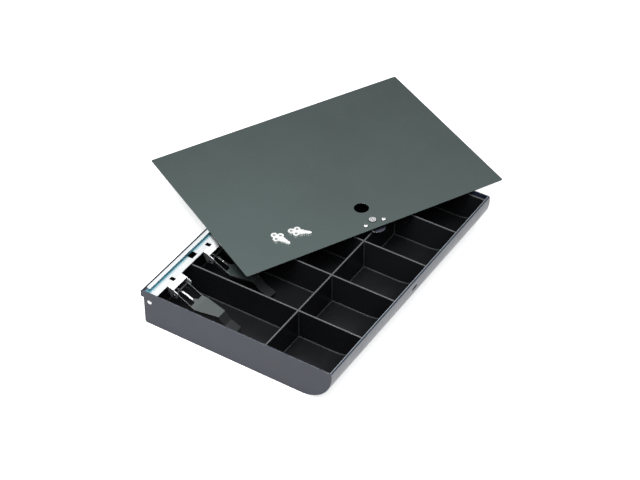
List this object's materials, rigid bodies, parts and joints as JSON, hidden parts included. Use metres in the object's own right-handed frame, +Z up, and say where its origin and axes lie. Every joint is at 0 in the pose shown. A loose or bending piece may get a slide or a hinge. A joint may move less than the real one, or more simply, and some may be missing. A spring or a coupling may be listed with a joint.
{
  "type": "cash drawer tray",
  "caption": "Flat steel cash tray with divided coin and note pockets, hinged note weights under a rear bracket, and a loose flat cover with a cam lock and keys.",
  "frame": {"origin": "middle of the underside of the tray", "axes": "+X to the tray's right seen from the front, +Y to the rear, +Z up"},
  "size_m": [0.5778, 0.4356, 0.057],
  "materials": {
    "tray_paint": "satin charcoal enamel",
    "pocket_black": "semi-gloss black",
    "cover_paint": "satin grey-green charcoal enamel",
    "weight_paint": "satin charcoal enamel",
    "zinc_plate": "bright zinc plate",
    "bright_rivet": "bright",
    "spring_wire": "drawn wire",
    "nickel": "bright nickel"
  },
  "bodies": {
    "tray": {"tray_pan": "tray_paint", "pocket_liner": "pocket_black", "left_end_panel": "tray_paint", "right_end_panel": "tray_paint", "left_end_liner": "pocket_black", "right_end_liner": "pocket_black", "long_divider": "pocket_black", "cross_divider_1": "pocket_black", "cross_divider_2": "pocket_black", "cross_divider_3": "pocket_black", "cross_divider_4": "pocket_black", "clip_bracket": "zinc_plate", "bracket_rivets": "bright_rivet", "hinge_pin_1": "bright_rivet", "hinge_pin_2": "bright_rivet", "hinge_pin_3": "bright_rivet", "hinge_pin_4": "bright_rivet", "hinge_pin_5": "bright_rivet", "weight_spring_1": "spring_wire", "weight_spring_2": "spring_wire", "weight_spring_3": "spring_wire", "weight_spring_4": "spring_wire", "weight_spring_5": "spring_wire"},
    "weight_1": {"bill_weight_1": "weight_paint"},
    "weight_2": {"bill_weight_2": "weight_paint"},
    "weight_3": {"bill_weight_3": "weight_paint"},
    "weight_4": {"bill_weight_4": "weight_paint"},
    "weight_5": {"bill_weight_5": "weight_paint"},
    "cover": {"cover_plate": "cover_paint", "lock_bracket": "zinc_plate", "cover_rivets": "bright_rivet", "lock_case": "nickel"},
    "lock": {"lock_plug": "nickel", "lock_cam": "nickel", "cam_screw": "nickel"},
    "key_1": {"key_1": "nickel"},
    "key_2": {"key_2": "nickel"}
  },
  "joints": [
    {"name": "weight_1_raise", "type": "hinge", "parent": "tray", "child": "weight_1", "pos_m": [-0.1608, 0.114, 0.038], "axis": [-1, 0, 0], "range_deg": [0, 90], "stiffness_Nm_per_rad": 0.05, "springref_deg": -28.65, "deforming": ["weight_spring_1"]},
    {"name": "weight_2_raise", "type": "hinge", "parent": "tray", "child": "weight_2", "pos_m": [-0.0804, 0.114, 0.038], "axis": [-1, 0, 0], "range_deg": [0, 22], "stiffness_Nm_per_rad": 0.05, "springref_deg": -28.65, "deforming": ["weight_spring_2"]},
    {"name": "weight_3_raise", "type": "hinge", "parent": "tray", "child": "weight_3", "pos_m": [0, 0.114, 0.038], "axis": [-1, 0, 0], "range_deg": [0, 22], "stiffness_Nm_per_rad": 0.05, "springref_deg": -28.65, "deforming": ["weight_spring_3"]},
    {"name": "weight_4_raise", "type": "hinge", "parent": "tray", "child": "weight_4", "pos_m": [0.0804, 0.114, 0.038], "axis": [-1, 0, 0], "range_deg": [0, 22], "stiffness_Nm_per_rad": 0.05, "springref_deg": -28.65, "deforming": ["weight_spring_4"]},
    {"name": "weight_5_raise", "type": "hinge", "parent": "tray", "child": "weight_5", "pos_m": [0.1608, 0.114, 0.038], "axis": [-1, 0, 0], "range_deg": [0, 22], "stiffness_Nm_per_rad": 0.05, "springref_deg": -28.65, "deforming": ["weight_spring_5"]},
    {"name": "cover_lift", "type": "slide", "parent": "tray", "child": "cover", "axis": [0, 0, 1], "range_m": [0, 0.12]},
    {"name": "lock_turn", "type": "hinge", "parent": "cover", "child": "lock", "pos_m": [0.07429, -0.0334, 0.054], "axis": [0, 0, 1], "range_deg": [0, 90]},
    {"name": "key_1_lift", "type": "slide", "parent": "cover", "child": "key_1", "axis": [0, 0, 1], "range_m": [0, 0.05]},
    {"name": "key_2_lift", "type": "slide", "parent": "cover", "child": "key_2", "axis": [0, 0, 1], "range_m": [0, 0.05]}
  ]
}
